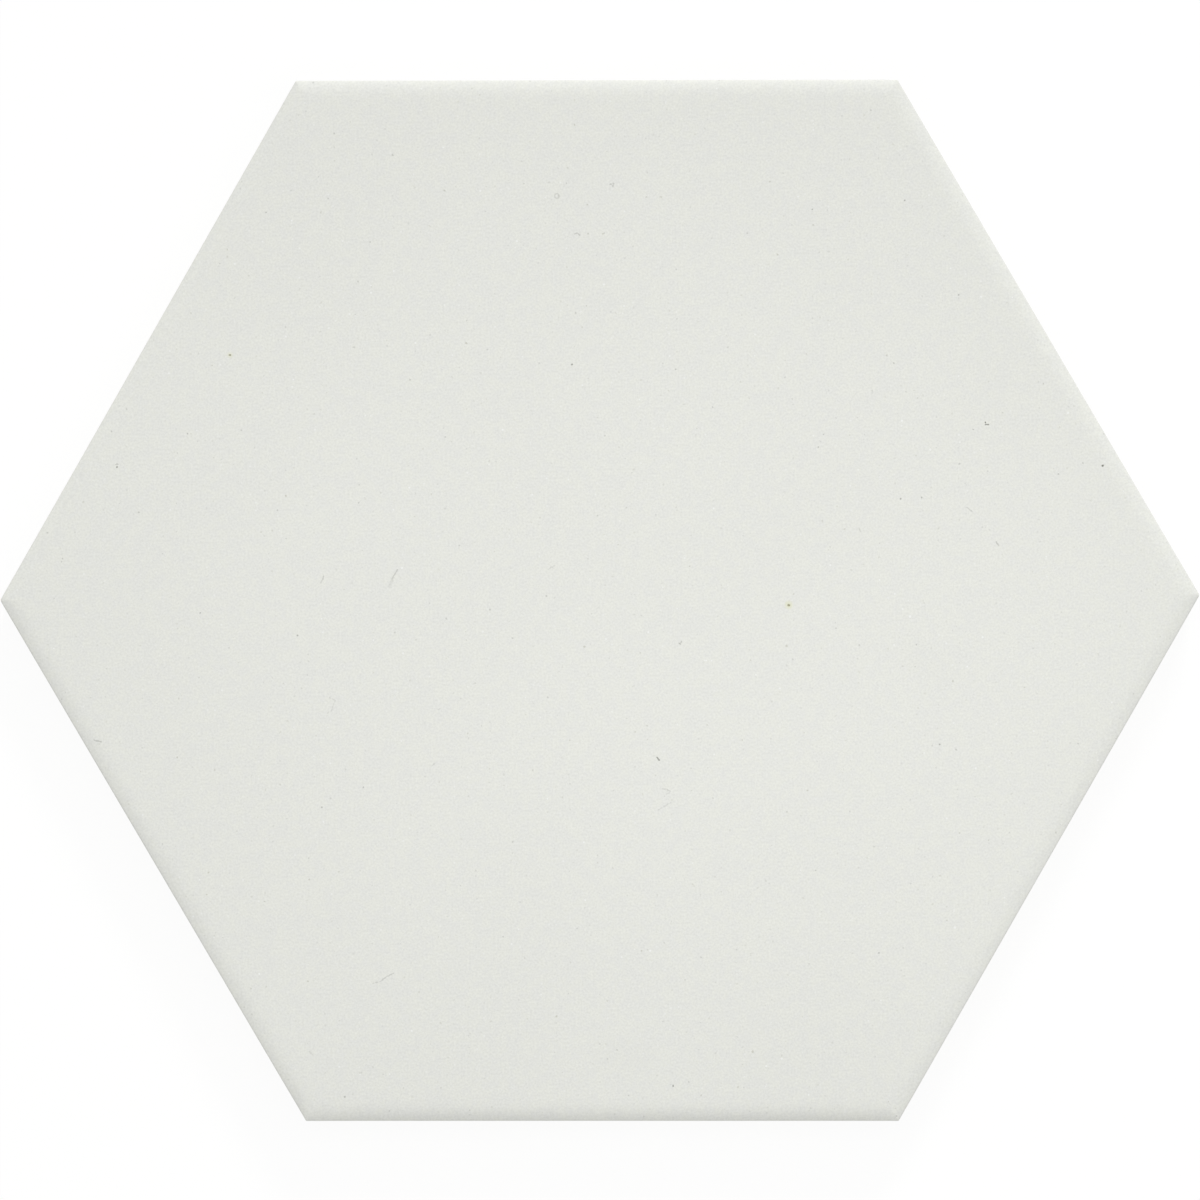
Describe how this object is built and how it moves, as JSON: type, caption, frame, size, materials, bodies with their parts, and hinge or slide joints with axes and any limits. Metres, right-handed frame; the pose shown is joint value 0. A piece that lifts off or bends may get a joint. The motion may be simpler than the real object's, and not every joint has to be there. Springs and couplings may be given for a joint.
{
  "type": "hexagon floor tile",
  "caption": "Flat hexagonal porcelain floor tile with a matt glazed face, cushioned edges, upright joint lands, a drafted wall and a honeycomb key on the back.",
  "frame": {"origin": "centre of the back plane, on which the tile is bedded or lies on a level floor", "axes": "+Z out of the glazed face; two opposite corners point along +X and -X, and two flats face +Y and -Y"},
  "size_m": [0.1996, 0.173, 0.009],
  "materials": {
    "glazed_porcelain": "matt"
  },
  "bodies": {
    "root": {"hexagon_tile": "glazed_porcelain"}
  },
  "joints": []
}
